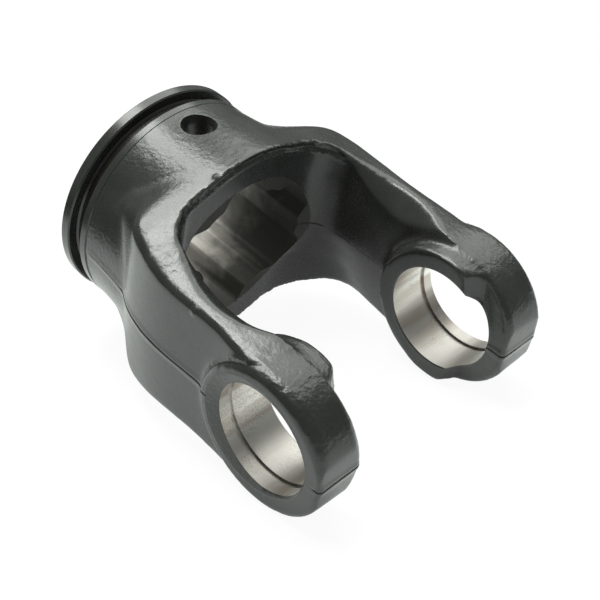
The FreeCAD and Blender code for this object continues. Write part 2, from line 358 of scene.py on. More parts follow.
def round_boss(points):
    """Draws the vertices at the outer edge of both bosses back to a rounded corner."""
    about = np.maximum(about_bores(points), 1e-6)
    worn_side = smoothstep(0.0, 14.0, points[:, 2]) * smoothstep(5.0, -5.0, points[:, 1])
    radius = EDGE_ROUND + WORN_ROUND * worn_side + EDGE_WAVER * noise_at(points, 0.45, 17.0)
    in_y = np.abs(points[:, 1]) - (BOSS_Y - radius)
    in_r = about - (BOSS_RADIUS - radius)
    reach = np.hypot(np.maximum(in_y, 0), np.maximum(in_r, 0))
    beyond = (in_y > 0) & (in_r > 0) & (reach > radius) & (about < BOSS_RADIUS + 0.4)
    shrink = np.where(beyond, radius / np.maximum(reach, 1e-6), 1.0)
    new_y = BOSS_Y - radius + in_y * shrink
    new_about = BOSS_RADIUS - radius + in_r * shrink
    moved = points.copy()
    moved[beyond, 1] = np.sign(points[beyond, 1]) * new_y[beyond]
    for axis in (0, 2):
        moved[beyond, axis] = points[beyond, axis] * new_about[beyond] / about[beyond]
    return moved


def move_to(mesh, points):
    """Puts the vertices at new places."""
    mesh.vertices.foreach_set("co", points.ravel())
    mesh.update()


sharp_boss = values_of(skin_mesh, "co")
worn_boss = round_boss(sharp_boss)
move_to(skin_mesh, worn_boss)
print("vertices drawn back", int((worn_boss != sharp_boss).any(axis=1).sum()))

# %% [markdown]
# The skin of a forging is uneven: the die is worn, and scale was pressed in and
# blown off again. Faces that looked at a die are rougher than side walls, and the
# tops of the ears roughest. A bump map could show this, but the outline would stay
# smooth, so noise moves the vertices. Each call gives the noise its size and seed.

# %% Dents of the forging
SWELL = 0.05
RIPPLE = 0.015
GRAIN = 0.01
GRAIN_STRUCK = 0.03
EAR_DENT = 0.06
EAR_PIT = 0.08

co = values_of(skin_mesh, "co")
nor = values_of(skin_mesh, "normal")
edge = smoothstep(0.10, 0.26, bulge_of(skin_mesh, 2))
facing_die = np.abs(nor[:, 2])
true_flat = flats_of_ears(co, (24.0, 23.0), (26.2, 25.8), (42.2, 42.8))
die_struck = smoothstep(0.70, 0.92, facing_die) * (1.0 - true_flat)
ear_top = smoothstep(26.0, 23.5, about_bores(co)) * smoothstep(0.2, 0.7, nor[:, 2])
ear_top *= 1.0 - true_flat

rise = SWELL * noise_at(co, 0.11, 3.0) + RIPPLE * noise_at(co, 0.30, 11.0)
rise += (GRAIN + GRAIN_STRUCK * die_struck) * noise_at(co, 0.55, 29.0)
rise += ear_top * (EAR_DENT * noise_at(co, 0.40, 101.0)
                   + EAR_PIT * np.minimum(noise_at(co, 0.22, 107.0), 0.1))
print("dents from", round(float(rise.min()), 3), "to", round(float(rise.max()), 3), "mm")

# %% [markdown]
# Trimming leaves burrs, the heaviest along the outer edge of the arms and the rim
# of the crotch. Sculpting each one would take long, so noise lifts the edges there.
# Only a few large ones are placed singly, each by its place, width and height.

# %% Burrs
BURR = 0.42
LONE_BURRS = [((-28.8, -40.0, 21.3), 1.8, 0.60), ((-53.7, -12.2, 34.4), 1.1, 0.45),
              ((-24.8, -39.6, 21.3), 1.4, 0.35), ((-38.2, -39.7, 22.0), 1.3, 0.35),
              ((-51.2, 1.8, 34.2), 1.2, 0.30), ((-46.5, 24.0, 30.0), 1.2, 0.30)]

lumps = np.clip(noise_at(co, 0.42, 53.0) + 0.4 * noise_at(co, 0.8, 61.0), -0.6, 0.9)
outer_side = smoothstep(37.0, 38.4, np.abs(co[:, 1])) * smoothstep(-8.0, -14.0, co[:, 0])
crotch_rim = smoothstep(-38.0, -52.0, co[:, 0]) * smoothstep(10.0, 16.0, np.abs(co[:, 2]))
crotch_rim *= smoothstep(34.0, 32.0, np.abs(co[:, 1]))
rise += BURR * edge * lumps * (0.08 + 0.92 * np.maximum(outer_side, crotch_rim))
for place_of_burr, reach, height in LONE_BURRS:
    distance = np.linalg.norm(co - np.array(place_of_burr), axis=1)
    rise += height * smoothstep(reach, 0.2 * reach, distance)
print("lone burrs", len(LONE_BURRS))

# %% [markdown]
# The crotch was punched out, which leaves a sheared ledge under its upper rim with
# a fine lip below it. The ledge follows the rim, whatever its shape, because it is
# made from each wall vertex's distance to the nearest vertex on the rim. A cutter
# would have to be fitted to that rim again after each change.

# %% Ledge of the crotch
LEDGE_WIDTH = 1.7
LEDGE_DEPTH = 0.70
LEDGE_WAVER = 0.25
LIP_RISE = 0.32
RIM_SINK = 0.35


def distance_to(points, targets):
    """Distance from each point to the nearest target."""
    tree = kdtree.KDTree(len(targets))
    for index, target in enumerate(targets):
        tree.insert(target, index)
    tree.balance()
    return np.array([tree.find(p)[2] for p in points])


rim_points = co[(edge > 0.5) & (crotch_rim > 0.5) & (co[:, 2] > 0)]
to_rim = np.full(len(co), 99.0)
wall = (facing_die < 0.5) & (co[:, 0] < -30) & (co[:, 2] > 8) & (np.abs(co[:, 1]) < 36)
to_rim[wall] = distance_to(co[wall], rim_points)
upper_half = smoothstep(0.0, 5.0, co[:, 2])
ledge_edge = LEDGE_WIDTH + LEDGE_WAVER * noise_at(co, 0.25, 83.0)
ledge = smoothstep(ledge_edge + 0.3, ledge_edge - 0.3, to_rim) * crotch_rim
lip = smoothstep(0.8, 0.1, np.abs(to_rim - ledge_edge - 0.5)) * crotch_rim
rise += LIP_RISE * lip - LEDGE_DEPTH * ledge * (1.0 - edge)
rise -= RIM_SINK * edge * crotch_rim * upper_half
print("rim vertices", len(rim_points), "ledge", LEDGE_WIDTH, "mm wide")

# %% [markdown]
# Where the dies met, the sheared flash leaves a low band all round with a fine dark
# seam in its middle. The lower half of the band stands out a little more, because
# the dies never meet quite true. A painted line would look drawn with a ruler, so
# the seam is a groove that fades in and out.

# %% Flash line and seam
GROOVE_SINK = 0.26
FLASH_HALF = 1.3
FLASH_WAVER = 0.35
FLASH_RISE = 0.16
DIE_OFFSET = 0.10
FACE_SEAM_SINK = 0.22

off_line = np.abs(co[:, 2])
side_wall = smoothstep(0.75, 0.35, facing_die)
inner_wall = smoothstep(34.0, 32.0, np.abs(co[:, 1])) * smoothstep(-6.0, -10.0, co[:, 0])
flash_edge = FLASH_HALF + FLASH_WAVER * noise_at(co * [1, 1, 0], 0.22, 41.0)
flash = smoothstep(flash_edge + 0.7, flash_edge - 0.4, off_line) * (1.0 - inner_wall)
seam = smoothstep(PARTING_HALF * 0.9, 0.0, off_line)
seam *= 1.0 - 0.7 * inner_wall * smoothstep(-50.0, -46.0, co[:, 0])
seam *= 1.0 - 0.75 * smoothstep(-60.0, -66.0, co[:, 0])
seam *= 0.55 + 0.45 * np.clip(1.6 * noise_at(co * [1, 1, 0], 0.10, 71.0) + 0.6, 0, 1)
below = smoothstep(0.05, -0.05, co[:, 2])
rise += side_wall * (FLASH_RISE * flash - GROOVE_SINK * seam + DIE_OFFSET * below * flash)
rise *= 1.0 - 0.9 * true_flat

on_boss = smoothstep(42.2, 42.8, np.abs(co[:, 1])) * smoothstep(24.0, 23.0, about_bores(co))
on_boss *= smoothstep(19.0, 19.6, about_bores(co))
rise -= FACE_SEAM_SINK * on_boss * smoothstep(PARTING_HALF, 0.0, off_line)
print("seam vertices", int((seam > 0.5).sum()))

# %% [markdown]
# All the heights are added up, so the vertices move once, along their normals. The
# rim of the crotch is smoothed a little afterwards, because a steep ledge on small
# square faces would show their grid as a row of beads.

# %% Move the skin
co = co + nor * rise[:, None]
move_to(skin_mesh, co)
rim_band = np.maximum(edge, smoothstep(3.0, 2.0, to_rim)) * crotch_rim
skin_mesh = smooth(raw, 3, rim_band * smoothstep(0.0, 5.0, co[:, 2]))
print("skin moved by", round(float(rise.min()), 3), "to", round(float(rise.max()), 3), "mm")

# %% [markdown]
# Now the machining. A lathe profile is a list of stations and radii, spun round an
# axis. The Screw modifier can spin a profile too, but a short function gives closed
# ends and the same number of segments to every cutter, which a boolean likes.

# %% Lathe helper
SEGMENTS = 224
# s is the station along the axis, a and b are the two directions across it
ALONG = {"X": lambda s, a, b: (s, a, b), "Y": lambda s, a, b: (b, s, a),
         "Z": lambda s, a, b: (a, b, s)}


def solid_from(name, vertices, faces):
    """Object from vertices and faces, with its faces turned outwards."""
    mesh = bpy.data.meshes.new(name)
    mesh.from_pydata(vertices, [], faces)
    shell = bmesh.new()
    shell.from_mesh(mesh)
    bmesh.ops.recalc_face_normals(shell, faces=shell.faces)
    shell.to_mesh(mesh)
    shell.free()
    return temporary_object(name, mesh)


def lathe(name, profile, axis):
    """Closed solid of revolution from (station, radius) pairs."""
    vertices, faces = [], []
    for station, radius in profile:
        for k in range(SEGMENTS):
            angle = 2 * math.pi * k / SEGMENTS
            vertices.append(ALONG[axis](station, radius * math.cos(angle),
                                        radius * math.sin(angle)))
    for low in range(0, (len(profile) - 1) * SEGMENTS, SEGMENTS):
        high = low + SEGMENTS
        for k in range(SEGMENTS):
            n = (k + 1) % SEGMENTS
            faces.append((low + k, low + n, high + n, high + k))
    last = (len(profile) - 1) * SEGMENTS
    faces.append(tuple(range(SEGMENTS))[::-1])
    faces.append(tuple(range(last, last + SEGMENTS)))
    return solid_from(name, vertices, faces)


print("lathe with", SEGMENTS, "segments")

# %% [markdown]
# The bearing bores could be cut ear by ear, with more cutters for the grooves that
# hold the retaining rings. One profile does it all: it runs through both ears and
# carries the grooves and the chamfers. The drill for the pin hole widens at both
# ends, where the real edges were broken.

# %% Cutters of the bearing bores and the pin hole
CHAMFER = 0.6
RELIEF = 0.1
OVERRUN = 6.0

half = [
    (PAD_Y, BORE_RADIUS + 0.3), (PAD_Y + 0.3, BORE_RADIUS),
    (RING_Y - RING_HALF - RELIEF, BORE_RADIUS), (RING_Y - RING_HALF, BORE_RADIUS + RELIEF),
    (RING_Y - RING_HALF, RING_RADIUS), (RING_Y + RING_HALF, RING_RADIUS),
    (RING_Y + RING_HALF, BORE_RADIUS + RELIEF), (RING_Y + RING_HALF + RELIEF, BORE_RADIUS),
    (BOSS_Y - CHAMFER, BORE_RADIUS), (BOSS_Y, BORE_RADIUS + CHAMFER),
    (BOSS_Y + OVERRUN, BORE_RADIUS + CHAMFER),
]
bore_cutter = lathe("bore_cutter", [(-s, r) for s, r in half[::-1]] + half, "Y")
pin_cutter = lathe("pin_cutter", [(-50.0, 16.0), (-39.0, 11.0), (-33.0, PIN_RADIUS),
                                  (33.4, PIN_RADIUS), (34.6, 5.5), (50.0, 18.0)], "Z")
pin_cutter.data.transform(Matrix.Translation((PIN_X, 0, 0)))
print("bore profile", len(half), "stations on each side")

# %% [markdown]
# The hub end is turned: a collar, the groove in which the bearing of the shaft guard
# runs, and a shoulder. The faces of the skin are too large for such crisp edges. The
# rough end is parted off instead, and a turned solid takes its place.

# %% Turned collar
COLLAR_RADIUS = 34.0
SHOULDER_RADIUS = 33.4
NECK_RADIUS = 30.6
COLLAR_X = -88.5
NECK_X = -84.4
SHOULDER_X = -81.6
EDGE = 0.4
FILLET = 0.5

collar = lathe("collar", [
    (HUB_END, COLLAR_RADIUS - EDGE), (HUB_END + EDGE, COLLAR_RADIUS),
    (COLLAR_X - EDGE, COLLAR_RADIUS), (COLLAR_X, COLLAR_RADIUS - EDGE),
    (COLLAR_X, NECK_RADIUS + FILLET), (COLLAR_X + FILLET, NECK_RADIUS),
    (NECK_X - FILLET, NECK_RADIUS), (NECK_X, NECK_RADIUS + FILLET),
    (NECK_X, SHOULDER_RADIUS - EDGE), (NECK_X + EDGE, SHOULDER_RADIUS),
    (SHOULDER_X - EDGE, SHOULDER_RADIUS), (SHOULDER_X, SHOULDER_RADIUS - EDGE),
    (SHOULDER_X, 28.0), (SHOULDER_X + 1.6, 28.0),
], "X")
parting_tool = lathe("parting_tool", [(-110.0, 60.0), (SHOULDER_X - 0.1, 60.0)], "X")
print("collar", 2 * COLLAR_RADIUS, "mm, neck", 2 * NECK_RADIUS, "mm wide")

# %% [markdown]
# The tube bore is broached: six ridges fit the grooves of a profile tube. The two
# ridges that point at the arms are lower. Neither a broach nor a tube has sharp
# corners. A bevel could round them all alike, while short arcs in the outline give
# the crests and the feet of the ridges a radius each.

# %% Arcs for the broach


def on_circle(angle, radius):
    """Point in the YZ plane at an angle in degrees."""
    turned = math.radians(angle)
    return Vector((radius * math.cos(turned), radius * math.sin(turned)))


def round_corner(before, corner, after, radius, steps=5):
    """Points of the arc that rounds one corner."""
    a = (before - corner).normalized()
    b = (after - corner).normalized()
    half_angle = a.angle(b) / 2
    reach = radius / math.tan(half_angle)
    centre = corner + (a + b).normalized() * (radius / math.sin(half_angle))
    start, end = corner + a * reach - centre, corner + b * reach - centre
    return [centre + start.lerp(end, k / steps).normalized() * radius for k in range(steps + 1)]


def arc(start_angle, end_angle, radius, steps=6):
    """Points inside an arc round the hub axis, without its ends."""
    span = end_angle - start_angle
    return [on_circle(start_angle + span * k / steps, radius) for k in range(1, steps)]


print("a corner of 90 degrees gets",
      len(round_corner(Vector((1, 0)), Vector((0, 0)), Vector((0, 1)), 0.2)), "points")

# %% [markdown]
# The outline goes round once: along the crest of a ridge, down its flank, along the
# floor of the groove and up to the next ridge. Drawing one sixth six times needs no
# mirror or array, and lets each ridge have its own height.

# %% Broach for the tube bore
RIDGE_RADIUS = 21.7
SIDE_RIDGE_RADIUS = 22.3
RIDGE_HALF_ANGLE = 8.5
FLANK_HALF_ANGLE = 17.5
CORNER_ROUND = 2.2
CREST_ROUND = 1.4
BROACH_END = -20.0


def ridge_radius(index):
    """Radius at the crest of a ridge; every third one points at an arm."""
    return SIDE_RIDGE_RADIUS if index % 3 == 0 else RIDGE_RADIUS


def broach_outline():
    """Outline of the six-lobed bore."""
    outline = []
    for index in range(6):
        base = 60.0 * index
        ridge, following = ridge_radius(index), ridge_radius(index + 1)
        crest = on_circle(base + RIDGE_HALF_ANGLE, ridge)
        foot = on_circle(base + FLANK_HALF_ANGLE, GROOVE_RADIUS)
        next_foot = on_circle(base + 60 - FLANK_HALF_ANGLE, GROOVE_RADIUS)
        next_crest = on_circle(base + 60 - RIDGE_HALF_ANGLE, following)
        inside = on_circle(base, ridge)
        bottom = on_circle(base + 30, GROOVE_RADIUS)
        beyond = on_circle(base + 60, following)
        outline += arc(base - RIDGE_HALF_ANGLE + 2.5, base + RIDGE_HALF_ANGLE - 2.5, ridge)
        outline += round_corner(inside, crest, foot, CREST_ROUND)
        outline += round_corner(crest, foot, bottom, CORNER_ROUND)
        outline += arc(base + 24, base + 36, GROOVE_RADIUS)
        outline += round_corner(bottom, next_foot, next_crest, CORNER_ROUND)
        outline += round_corner(next_foot, next_crest, beyond, CREST_ROUND)
    return outline


def draw_out(name, outline, start, end):
    """Solid made by drawing a YZ outline along X."""
    count = len(outline)
    vertices = [(start, p.x, p.y) for p in outline] + [(end, p.x, p.y) for p in outline]
    faces = [(k, (k + 1) % count, (k + 1) % count + count, k + count) for k in range(count)]
    faces += [tuple(range(count))[::-1], tuple(range(count, 2 * count))]
    return solid_from(name, vertices, faces)


broach = draw_out("broach", broach_outline(), HUB_END - 1.0, BROACH_END)
print("broach outline", len(broach.data.vertices) // 2, "points")

# %% [markdown]
# Each cutter is taken away from the skin with a boolean, in the order of the shop:
# part off the rough end, add the turned collar, bore the ears, broach the hub and
# drill the pin hole. Knife cuts by hand would give fewer faces, but booleans run
# again after every change of the skin, and their edges are as crisp.

# %% Machine the forging


def combine(target, tool, operation):
    """One boolean, applied straight away; the tool is removed."""
    step = target.modifiers.new("step", "BOOLEAN")
    step.operation = operation
    step.solver = "MANIFOLD"
    step.object = tool
    mesh = apply_modifiers(target)
    print(operation.lower(), tool.name, len(mesh.polygons), "faces")
    bpy.data.objects.remove(tool)
    return mesh


for operation, tool in (("DIFFERENCE", parting_tool), ("UNION", collar),
                        ("DIFFERENCE", bore_cutter), ("DIFFERENCE", broach),
                        ("DIFFERENCE", pin_cutter)):
    yoke_mesh = combine(raw, tool, operation)

# %% [markdown]
# The mouth of each bearing bore has a shallow round recess in the boss. It sits a
# little towards the hub, so the ring round the bore is wider on one side. Moved
# vertices would leave its rim soft, so a shifted cone cuts it.

# %% Entry dimples
DIMPLE_RADIUS = 17.9
DIMPLE_SHIFT = -1.9
DIMPLE_DEPTH = 1.6
DIMPLE_SLOPE = 2.4
ABOVE_BOSS = 0.5

for side in (-1, 1):
    dimple = lathe("dimple", [
        (side * (BOSS_Y - DIMPLE_DEPTH), DIMPLE_RADIUS - DIMPLE_DEPTH * DIMPLE_SLOPE),
        (side * (BOSS_Y + ABOVE_BOSS), DIMPLE_RADIUS + ABOVE_BOSS * DIMPLE_SLOPE)], "Y")
    dimple.data.transform(Matrix.Translation((DIMPLE_SHIFT, 0, 0)))
    yoke_mesh = combine(raw, dimple, "DIFFERENCE")

# %% [markdown]
# Three values are stored on the vertices for the materials: the place in the die
# frame, so that marks can follow the hub or the bores, how sharply the surface
# bulges, because paint wears off bulges first and because hollows get painted shade
# and bulges a painted highlight, and how much it was hammered. A shader could find
# bulges by itself, but only for faces of one size.

# %% Stored values


def store(name, kind, slot, values):
    """Stores one value for each vertex of the yoke."""
    yoke_mesh.attributes.new(name, kind, "POINT").data.foreach_set(slot, values)


co = values_of(yoke_mesh, "co")
nor = values_of(yoke_mesh, "normal")
bulge = bulge_of(yoke_mesh, 3)
turned = smoothstep(-81.0, -82.0, co[:, 0])
true_flat = flats_of_ears(co, (24.0, 23.0), (27.0, 26.4), (42.4, 43.0))
on_hub = smoothstep(-54.0, -60.0, co[:, 0])
patch = smoothstep(-0.15, 0.25, noise_at(co, 0.045, 97.0))
struck = smoothstep(0.72, 0.92, np.abs(nor[:, 2])) * (1.0 - on_hub)
ear_top = smoothstep(26.0, 23.5, about_bores(co)) * smoothstep(0.3, 0.8, nor[:, 2])
tip_share = 0.6 + 0.9 * smoothstep(-9.0, 2.0, co[:, 0])
struck = np.maximum(0.45 * struck, tip_share * ear_top)
struck = np.maximum(struck, on_hub * (0.10 + 0.65 * patch))
struck = (0.11 + 0.89 * struck) * (1.0 - turned) * (1.0 - 0.95 * true_flat)
about_dimple = np.hypot(co[:, 0] - DIMPLE_SHIFT, co[:, 2])
in_dimple = smoothstep(DIMPLE_RADIUS + 0.6, DIMPLE_RADIUS, about_dimple)
in_dimple *= smoothstep(BOSS_Y - 2.2, BOSS_Y - 1.7, np.abs(co[:, 1]))
store("die_place", "FLOAT_VECTOR", "vector", co.ravel())
store("bulge", "FLOAT", "value", np.clip(bulge, -1.0, 1.0))
store("hammered", "FLOAT", "value", np.maximum(struck, 1.2 * in_dimple))
print("bulge percentiles", np.round(np.percentile(bulge, [1, 5, 50, 95, 99]), 3))

# %% [markdown]
# The finished skin is laid down in the frame of the CAD model and takes its place.
# Smooth shading everywhere would make the machined edges look soft too, so it stops
# at edges sharper than a limit, and only worn edges look soft.

# %% Finished piece
SHARP_EDGE = math.radians(32)

yoke_mesh.transform(lay_down)
yoke_mesh.name = "forged_yoke_skin"
yoke = raw
yoke.name = "forged_yoke_skin"
yoke_mesh.polygons.foreach_set("use_smooth", [True] * len(yoke_mesh.polygons))
yoke_mesh.set_sharp_from_angle(angle=SHARP_EDGE)
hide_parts("forged_yoke")
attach(yoke, "root")
print("finished piece", len(yoke_mesh.polygons), "faces")

# %% [markdown]
# Materials are node trees. A few helpers make them readable: each takes sockets or
# numbers and gives back the socket to use next, as in a formula. Dragging nodes by
# hand gives the same tree, but it is slower to change.

# %% Node helpers


def new_material(name):
    """Empty material; gives its node tree and its Principled shader too."""
    material = bpy.data.materials.new(name)
    material.use_nodes = True
    return material, material.node_tree, material.node_tree.nodes["Principled BSDF"]


def feed(tree, socket, value):
    """Links a socket to an input, or sets the input to a number, colour or vector."""
    if isinstance(value, bpy.types.NodeSocket):
        tree.links.new(value, socket)
    else:
        socket.default_value = value


def stored_value(tree, name, output):
    """Reads one of the stored values."""
    made = tree.nodes.new("ShaderNodeAttribute")
    made.attribute_name = name
    return made.outputs[output]


def math_node(tree, operation, *values):
    """Math node fed by sockets or numbers."""
    made = tree.nodes.new("ShaderNodeMath")
    made.operation = operation
    for socket, value in zip(made.inputs, values):
        feed(tree, socket, value)
    return made.outputs[0]


print("helpers for values ready")

# %% [markdown]
# Three more helpers make the parts that every finish here has: a soft mask from a
# value, a mix of two colours by a mask, and a bump. A colour ramp could do the
# first two in one node, but its stops can't be fed by other nodes.

# %% Mask, colour and bump helpers


def ramp_between(tree, value, low, high):
    """Soft step from 0 at low to 1 at high."""
    made = tree.nodes.new("ShaderNodeMapRange")
    made.interpolation_type = "SMOOTHSTEP"
    for socket, given in (("Value", value), ("From Min", low), ("From Max", high)):
        feed(tree, made.inputs[socket], given)
    return made.outputs["Result"]


def mix_color(tree, share, first, second):
    """Mixes two colours by a mask."""
    made = tree.nodes.new("ShaderNodeMix")
    made.data_type = "RGBA"
    feed(tree, made.inputs[0], share)
    for index, value in ((6, first), (7, second)):
        feed(tree, made.inputs[index], (*value, 1.0) if isinstance(value, tuple) else value)
    return made.outputs[2]


def bump(tree, shader, height, distance, strength):
    """Bends the shader's normal by a height."""
    made = tree.nodes.new("ShaderNodeBump")
    made.inputs["Strength"].default_value = strength
    made.inputs["Distance"].default_value = distance
    tree.links.new(height, made.inputs["Height"])
    tree.links.new(made.outputs["Normal"], shader.inputs["Normal"])


print("helpers for masks, colours and bumps ready")

# %% [markdown]
# Cutter marks, stains, speckles and orange-peel are all one effect: noise that is
# stretched along the work. Each material could have its own nodes for it, but one
# group is easier to read. Its Noise gives bumps, and its Mask gives clear patches.

# %% Shared marks group
MARKS_INPUTS = (("Place", "Vector"), ("Stretch", "Vector"), ("Detail", "Float"),
                ("Distortion", "Float"), ("From", "Float"), ("To", "Float"))


def build_marks():
    """Node group that gives stretched noise and a mask cut from it."""
    group = bpy.data.node_groups.new("stretched_marks", "ShaderNodeTree")
    for name, kind in MARKS_INPUTS:
        group.interface.new_socket(name, in_out="INPUT", socket_type="NodeSocket" + kind)
    for name in ("Noise", "Mask"):
        group.interface.new_socket(name, in_out="OUTPUT", socket_type="NodeSocketFloat")
    given = group.nodes.new("NodeGroupInput").outputs
    result = group.nodes.new("NodeGroupOutput").inputs
    mapping = group.nodes.new("ShaderNodeMapping")
    texture = group.nodes.new("ShaderNodeTexNoise")
    texture.inputs["Scale"].default_value = 1.0
    for source, target in (
            (given["Place"], mapping.inputs["Vector"]),
            (given["Stretch"], mapping.inputs["Scale"]),
            (mapping.outputs["Vector"], texture.inputs["Vector"]),
            (given["Detail"], texture.inputs["Detail"]),
            (given["Distortion"], texture.inputs["Distortion"])):
        group.links.new(source, target)
    value = texture.outputs["Fac"]
    group.links.new(value, result["Noise"])
    group.links.new(ramp_between(group, value, given["From"], given["To"]), result["Mask"])
    return group


marks_group = build_marks()
print("group", marks_group.name, "with", len(MARKS_INPUTS), "inputs")

# %% [markdown]
# The group is placed on the die frame, so a stretch along X, Y or Z follows the hub
# or the bores. A UV map could carry the marks too, but the remesh left no UVs.

# %% Place the marks group


def marks(tree, stretch, detail, low=0.0, high=1.0, distortion=0.0):
    """Places the group on the die frame; gives its noise and its mask."""
    made = tree.nodes.new("ShaderNodeGroup")
    made.node_tree = marks_group
    if isinstance(stretch, float):
        stretch = (stretch,) * 3
    place = stored_value(tree, "die_place", "Vector")
    for name, value in (("Place", place), ("Stretch", stretch), ("Detail", detail),
                        ("Distortion", distortion), ("From", low), ("To", high)):
        feed(tree, made.inputs[name], value)
    return made.outputs["Noise"], made.outputs["Mask"]


print("helper marks ready")

# %% [markdown]
# The paint is a thin satin black coat over a blasted forging. Its colour clouds a
# little, is darker and brownish in hollows as painted shade, and lighter on bulges,
# partly rubbed wear and partly a painted edge highlight. One flat black would be
# simpler, but it would look like plastic.

# %% Colour of the black paint
PAINT = (0.016, 0.0165, 0.0152)
PAINT_DUSTY = (0.023, 0.024, 0.0225)
PAINT_HOLLOW_SHADE = (0.014, 0.011, 0.009)
PAINT_WORN_AND_HIGHLIT = (0.05, 0.048, 0.044)

paint, tree, shader = new_material("satin_black_paint")
bulging = stored_value(tree, "bulge", "Fac")
hammered = stored_value(tree, "hammered", "Fac")
cloud = marks(tree, 0.09, 4.0, 0.35, 0.65)[1]
peel = marks(tree, 1.9, 3.0)[0]
# Hollows get a darker, brownish colour: painted shade.
shaded_hollow = ramp_between(tree, bulging, -0.04, -0.22)
# Bulges get a lighter colour: partly rubbed wear, partly a painted edge highlight.
rubbed_and_highlit = math_node(tree, "MULTIPLY", ramp_between(tree, bulging, 0.14, 0.40), peel)
base = mix_color(tree, cloud, PAINT, PAINT_DUSTY)
base = mix_color(tree, shaded_hollow, base, PAINT_HOLLOW_SHADE)
base = mix_color(tree, rubbed_and_highlit, base, PAINT_WORN_AND_HIGHLIT)
feed(tree, shader.inputs["Base Color"], base)
print("paint from", PAINT_HOLLOW_SHADE, "to", PAINT_WORN_AND_HIGHLIT)

# %% [markdown]
# The coat shows every dent under it and has a fine orange-peel of its own. Dents
# too small for the mesh come from a bump: leathery where the skin was hammered, a
# few pits, and almost nothing on turned and milled faces. True geometry for these
# would need far smaller faces, and they never show in the outline.

# %% Dents and gloss of the black paint
LEATHER_MM = 0.145
PEEL_MM = 0.008
PEEL_MACHINED_MM = 0.002
PIT_MM = 0.03

leather = marks(tree, 0.85, 1.8)[0]
pits = tree.nodes.new("ShaderNodeTexVoronoi")
pits.inputs["Scale"].default_value = 0.16
tree.links.new(stored_value(tree, "die_place", "Vector"), pits.inputs["Vector"])
pit_mask = ramp_between(tree, pits.outputs["Distance"], 0.10, 0.03)
rough = math_node(tree, "MULTIPLY_ADD", peel, 0.12, 0.19)
rough = math_node(tree, "MULTIPLY_ADD", hammered, 0.05, rough)
feed(tree, shader.inputs["Roughness"], rough)
forged = ramp_between(tree, hammered, 0.0, 0.05)
peel_mm = math_node(tree, "MULTIPLY_ADD", forged, PEEL_MM, PEEL_MACHINED_MM)
height_mm = math_node(tree, "MULTIPLY", peel, peel_mm)
leather_mm = math_node(tree, "MULTIPLY", leather, hammered)
height_mm = math_node(tree, "MULTIPLY_ADD", leather_mm, LEATHER_MM, height_mm)
height_mm = math_node(tree, "MULTIPLY_ADD", pit_mask, -PIT_MM, height_mm)
bump(tree, shader, height_mm, MM, 1.0)
print("paint made")

# %% [markdown]
# The bearing bores are bare steel. The boring tool leaves fine rings round them,
# hands and cloths leave stains that run round too, and the steel is darker towards
# the bottom. Brushed metal could use an anisotropic shader, but the rings here are too faint.

# %% Bare steel of the bearing bores
STEEL = (0.76, 0.74, 0.71)
STEEL_STAINED = (0.50, 0.44, 0.39)
STEEL_DARK_BELOW = (0.20, 0.185, 0.17)
STEEL_SPECKLE = (0.12, 0.115, 0.105)

steel, tree, shader = new_material("bored_steel")
rings = marks(tree, (0.05, 9.0, 0.05), 3.0)[0]
stain = marks(tree, (0.16, 0.012, 0.16), 3.0, 0.46, 0.66)[1]
speckle = marks(tree, 2.4, 2.0, 0.50, 0.40)[1]
speckled_area = marks(tree, 0.07, 1.0, 0.50, 0.62)[1]
speckle_share = math_node(tree, "MULTIPLY_ADD", speckled_area, 0.32, 0.03)
speckle = math_node(tree, "MULTIPLY", speckle, speckle_share)
split = tree.nodes.new("ShaderNodeSeparateXYZ")
tree.links.new(stored_value(tree, "die_place", "Vector"), split.inputs["Vector"])
# The steel colour is darker towards the bottom of the bores.
darker_below = math_node(tree, "MULTIPLY", ramp_between(tree, split.outputs["Z"], -6.5, -14.5), 0.72)
base = mix_color(tree, stain, STEEL, STEEL_STAINED)
base = mix_color(tree, darker_below, base, STEEL_DARK_BELOW)
base = mix_color(tree, speckle, base, STEEL_SPECKLE)
feed(tree, shader.inputs["Base Color"], base)
shader.inputs["Metallic"].default_value = 1.0
feed(tree, shader.inputs["Roughness"], math_node(tree, "MULTIPLY_ADD", rings, 0.14, 0.40))
bump(tree, shader, rings, 0.03 * MM, 0.25)
print("bored steel made")

# %% [markdown]
# The broach leaves strokes along the hub. Its steel is bright deep inside and dark
# towards the crotch, on the flanks of the ridges and on the floor of the grooves:
# partly soot and oil, partly painted shade, since the light comes in at the open
# hub end. The shade could be painted on a texture, but here a formula places it:
# X runs along the hub, and the radius tells flank and floor apart.

# %% Soot and painted shade in the tube bore
broached, tree, shader = new_material("broached_steel")
split = tree.nodes.new("ShaderNodeSeparateXYZ")
tree.links.new(stored_value(tree, "die_place", "Vector"), split.inputs["Vector"])
side_squared = math_node(tree, "MULTIPLY", split.outputs["Y"], split.outputs["Y"])
radius = math_node(tree, "SQRT", math_node(
    tree, "MULTIPLY_ADD", split.outputs["Z"], split.outputs["Z"], side_squared))
flank = math_node(tree, "SUBTRACT", ramp_between(tree, radius, 22.0, 23.0),
                  ramp_between(tree, radius, 24.3, 25.8))
groove_floor = ramp_between(tree, radius, 23.5, 25.0)
mottle = marks(tree, 0.16, 4.0, distortion=0.5)[0]
along = math_node(tree, "MULTIPLY_ADD", mottle, 24.0, split.outputs["X"])
along = math_node(tree, "MULTIPLY_ADD", groove_floor, 7.0, along)
# Darker towards the crotch and on the flanks: painted shade, partly soot.
soot_and_shade = ramp_between(tree, along, -78.0, -47.0)
soot_and_shade = math_node(tree, "MAXIMUM", soot_and_shade, math_node(tree, "MULTIPLY", flank, 0.5))
print("soot mask made")

# %% [markdown]
# Soot and painted shade darken the colour and lower Metallic together. A
# second shader mixed in would do the same with more nodes. The strokes vary the
# roughness and give a very shallow bump.

